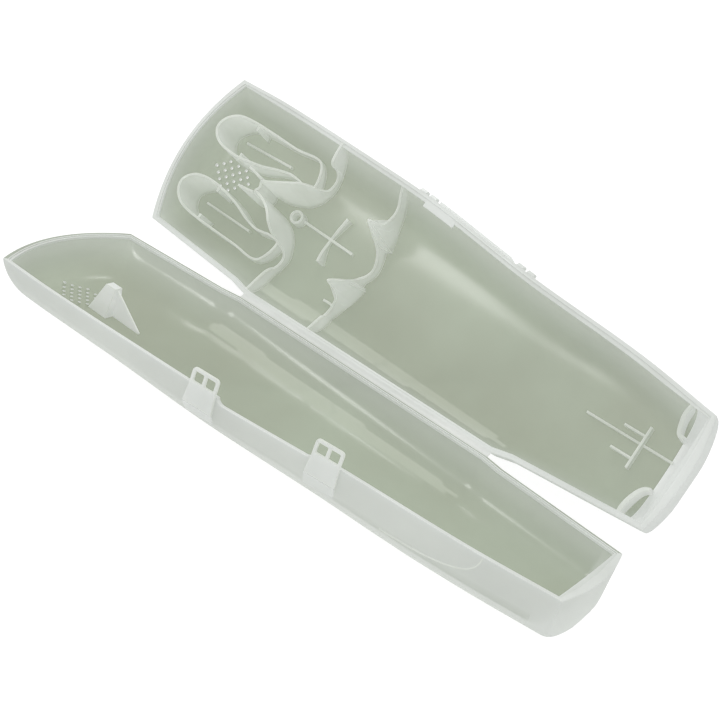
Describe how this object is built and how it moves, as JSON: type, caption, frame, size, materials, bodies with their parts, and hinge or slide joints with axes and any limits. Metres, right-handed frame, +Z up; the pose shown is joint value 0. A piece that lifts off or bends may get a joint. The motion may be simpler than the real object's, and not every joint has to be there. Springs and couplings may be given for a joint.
{
  "type": "electric toothbrush travel case",
  "caption": "Hinged travel case for an electric toothbrush, two frosted pillow-shaped shells standing open, with cradles for brush heads, neck and handle saddles and snap latches.",
  "frame": {"origin": "middle of the bounding box at the surface that the open case stands on", "axes": "+X along the hinge from the head end to the tail end, +Y towards the base shell, +Z up"},
  "size_m": [0.2438, 0.1332, 0.0507],
  "materials": {
    "shell_plastic": "frosted translucent polypropylene",
    "inner_wall_plastic": "frosted translucent polypropylene, polished on the thin walls",
    "hinge_web_plastic": "thin whitened polypropylene",
    "latch_plastic": "frosted translucent polypropylene"
  },
  "bodies": {
    "base": {"base_shell": "shell_plastic", "hinge_leaf_base": "hinge_web_plastic", "brush_cradle_front": "inner_wall_plastic", "brush_cradle_rear": "inner_wall_plastic", "cradle_rib_front": "inner_wall_plastic", "cradle_rib_rear": "inner_wall_plastic", "neck_saddle": "inner_wall_plastic", "neck_finger_front": "inner_wall_plastic", "neck_finger_rear": "inner_wall_plastic", "locating_ring": "inner_wall_plastic", "floor_cross": "inner_wall_plastic", "handle_saddle": "inner_wall_plastic", "saddle_gusset": "inner_wall_plastic", "end_stop": "inner_wall_plastic", "stop_centre_rib": "inner_wall_plastic", "tail_pocket_front": "inner_wall_plastic", "tail_pocket_rear": "inner_wall_plastic", "finger_panel": "latch_plastic", "catch_head": "latch_plastic", "catch_tail": "latch_plastic"},
    "lid": {"lid_shell": "shell_plastic", "hinge_leaf_lid": "hinge_web_plastic", "neck_hold_down": "inner_wall_plastic", "loop_root_head": "latch_plastic", "loop_root_tail": "latch_plastic"},
    "latch_head": {"latch_loop_head": "latch_plastic"},
    "latch_tail": {"latch_loop_tail": "latch_plastic"}
  },
  "joints": [
    {"name": "lid_hinge", "type": "hinge", "parent": "base", "child": "lid", "pos_m": [-0.11365, 0.0001, 0.00516], "axis": [0.9992, 0, 0.0401], "range_deg": [-120, 60]},
    {"name": "latch_head_flex", "type": "hinge", "parent": "lid", "child": "latch_head", "pos_m": [-0.01828, -0.0657, 0.03891], "axis": [0.9966, 0.0823, -0.0075], "range_deg": [0, 8], "stiffness_Nm_per_rad": 0.03},
    {"name": "latch_tail_flex", "type": "hinge", "parent": "lid", "child": "latch_tail", "pos_m": [0.03135, -0.05997, 0.03759], "axis": [0.9941, 0.1062, -0.0215], "range_deg": [0, 8], "stiffness_Nm_per_rad": 0.03}
  ]
}
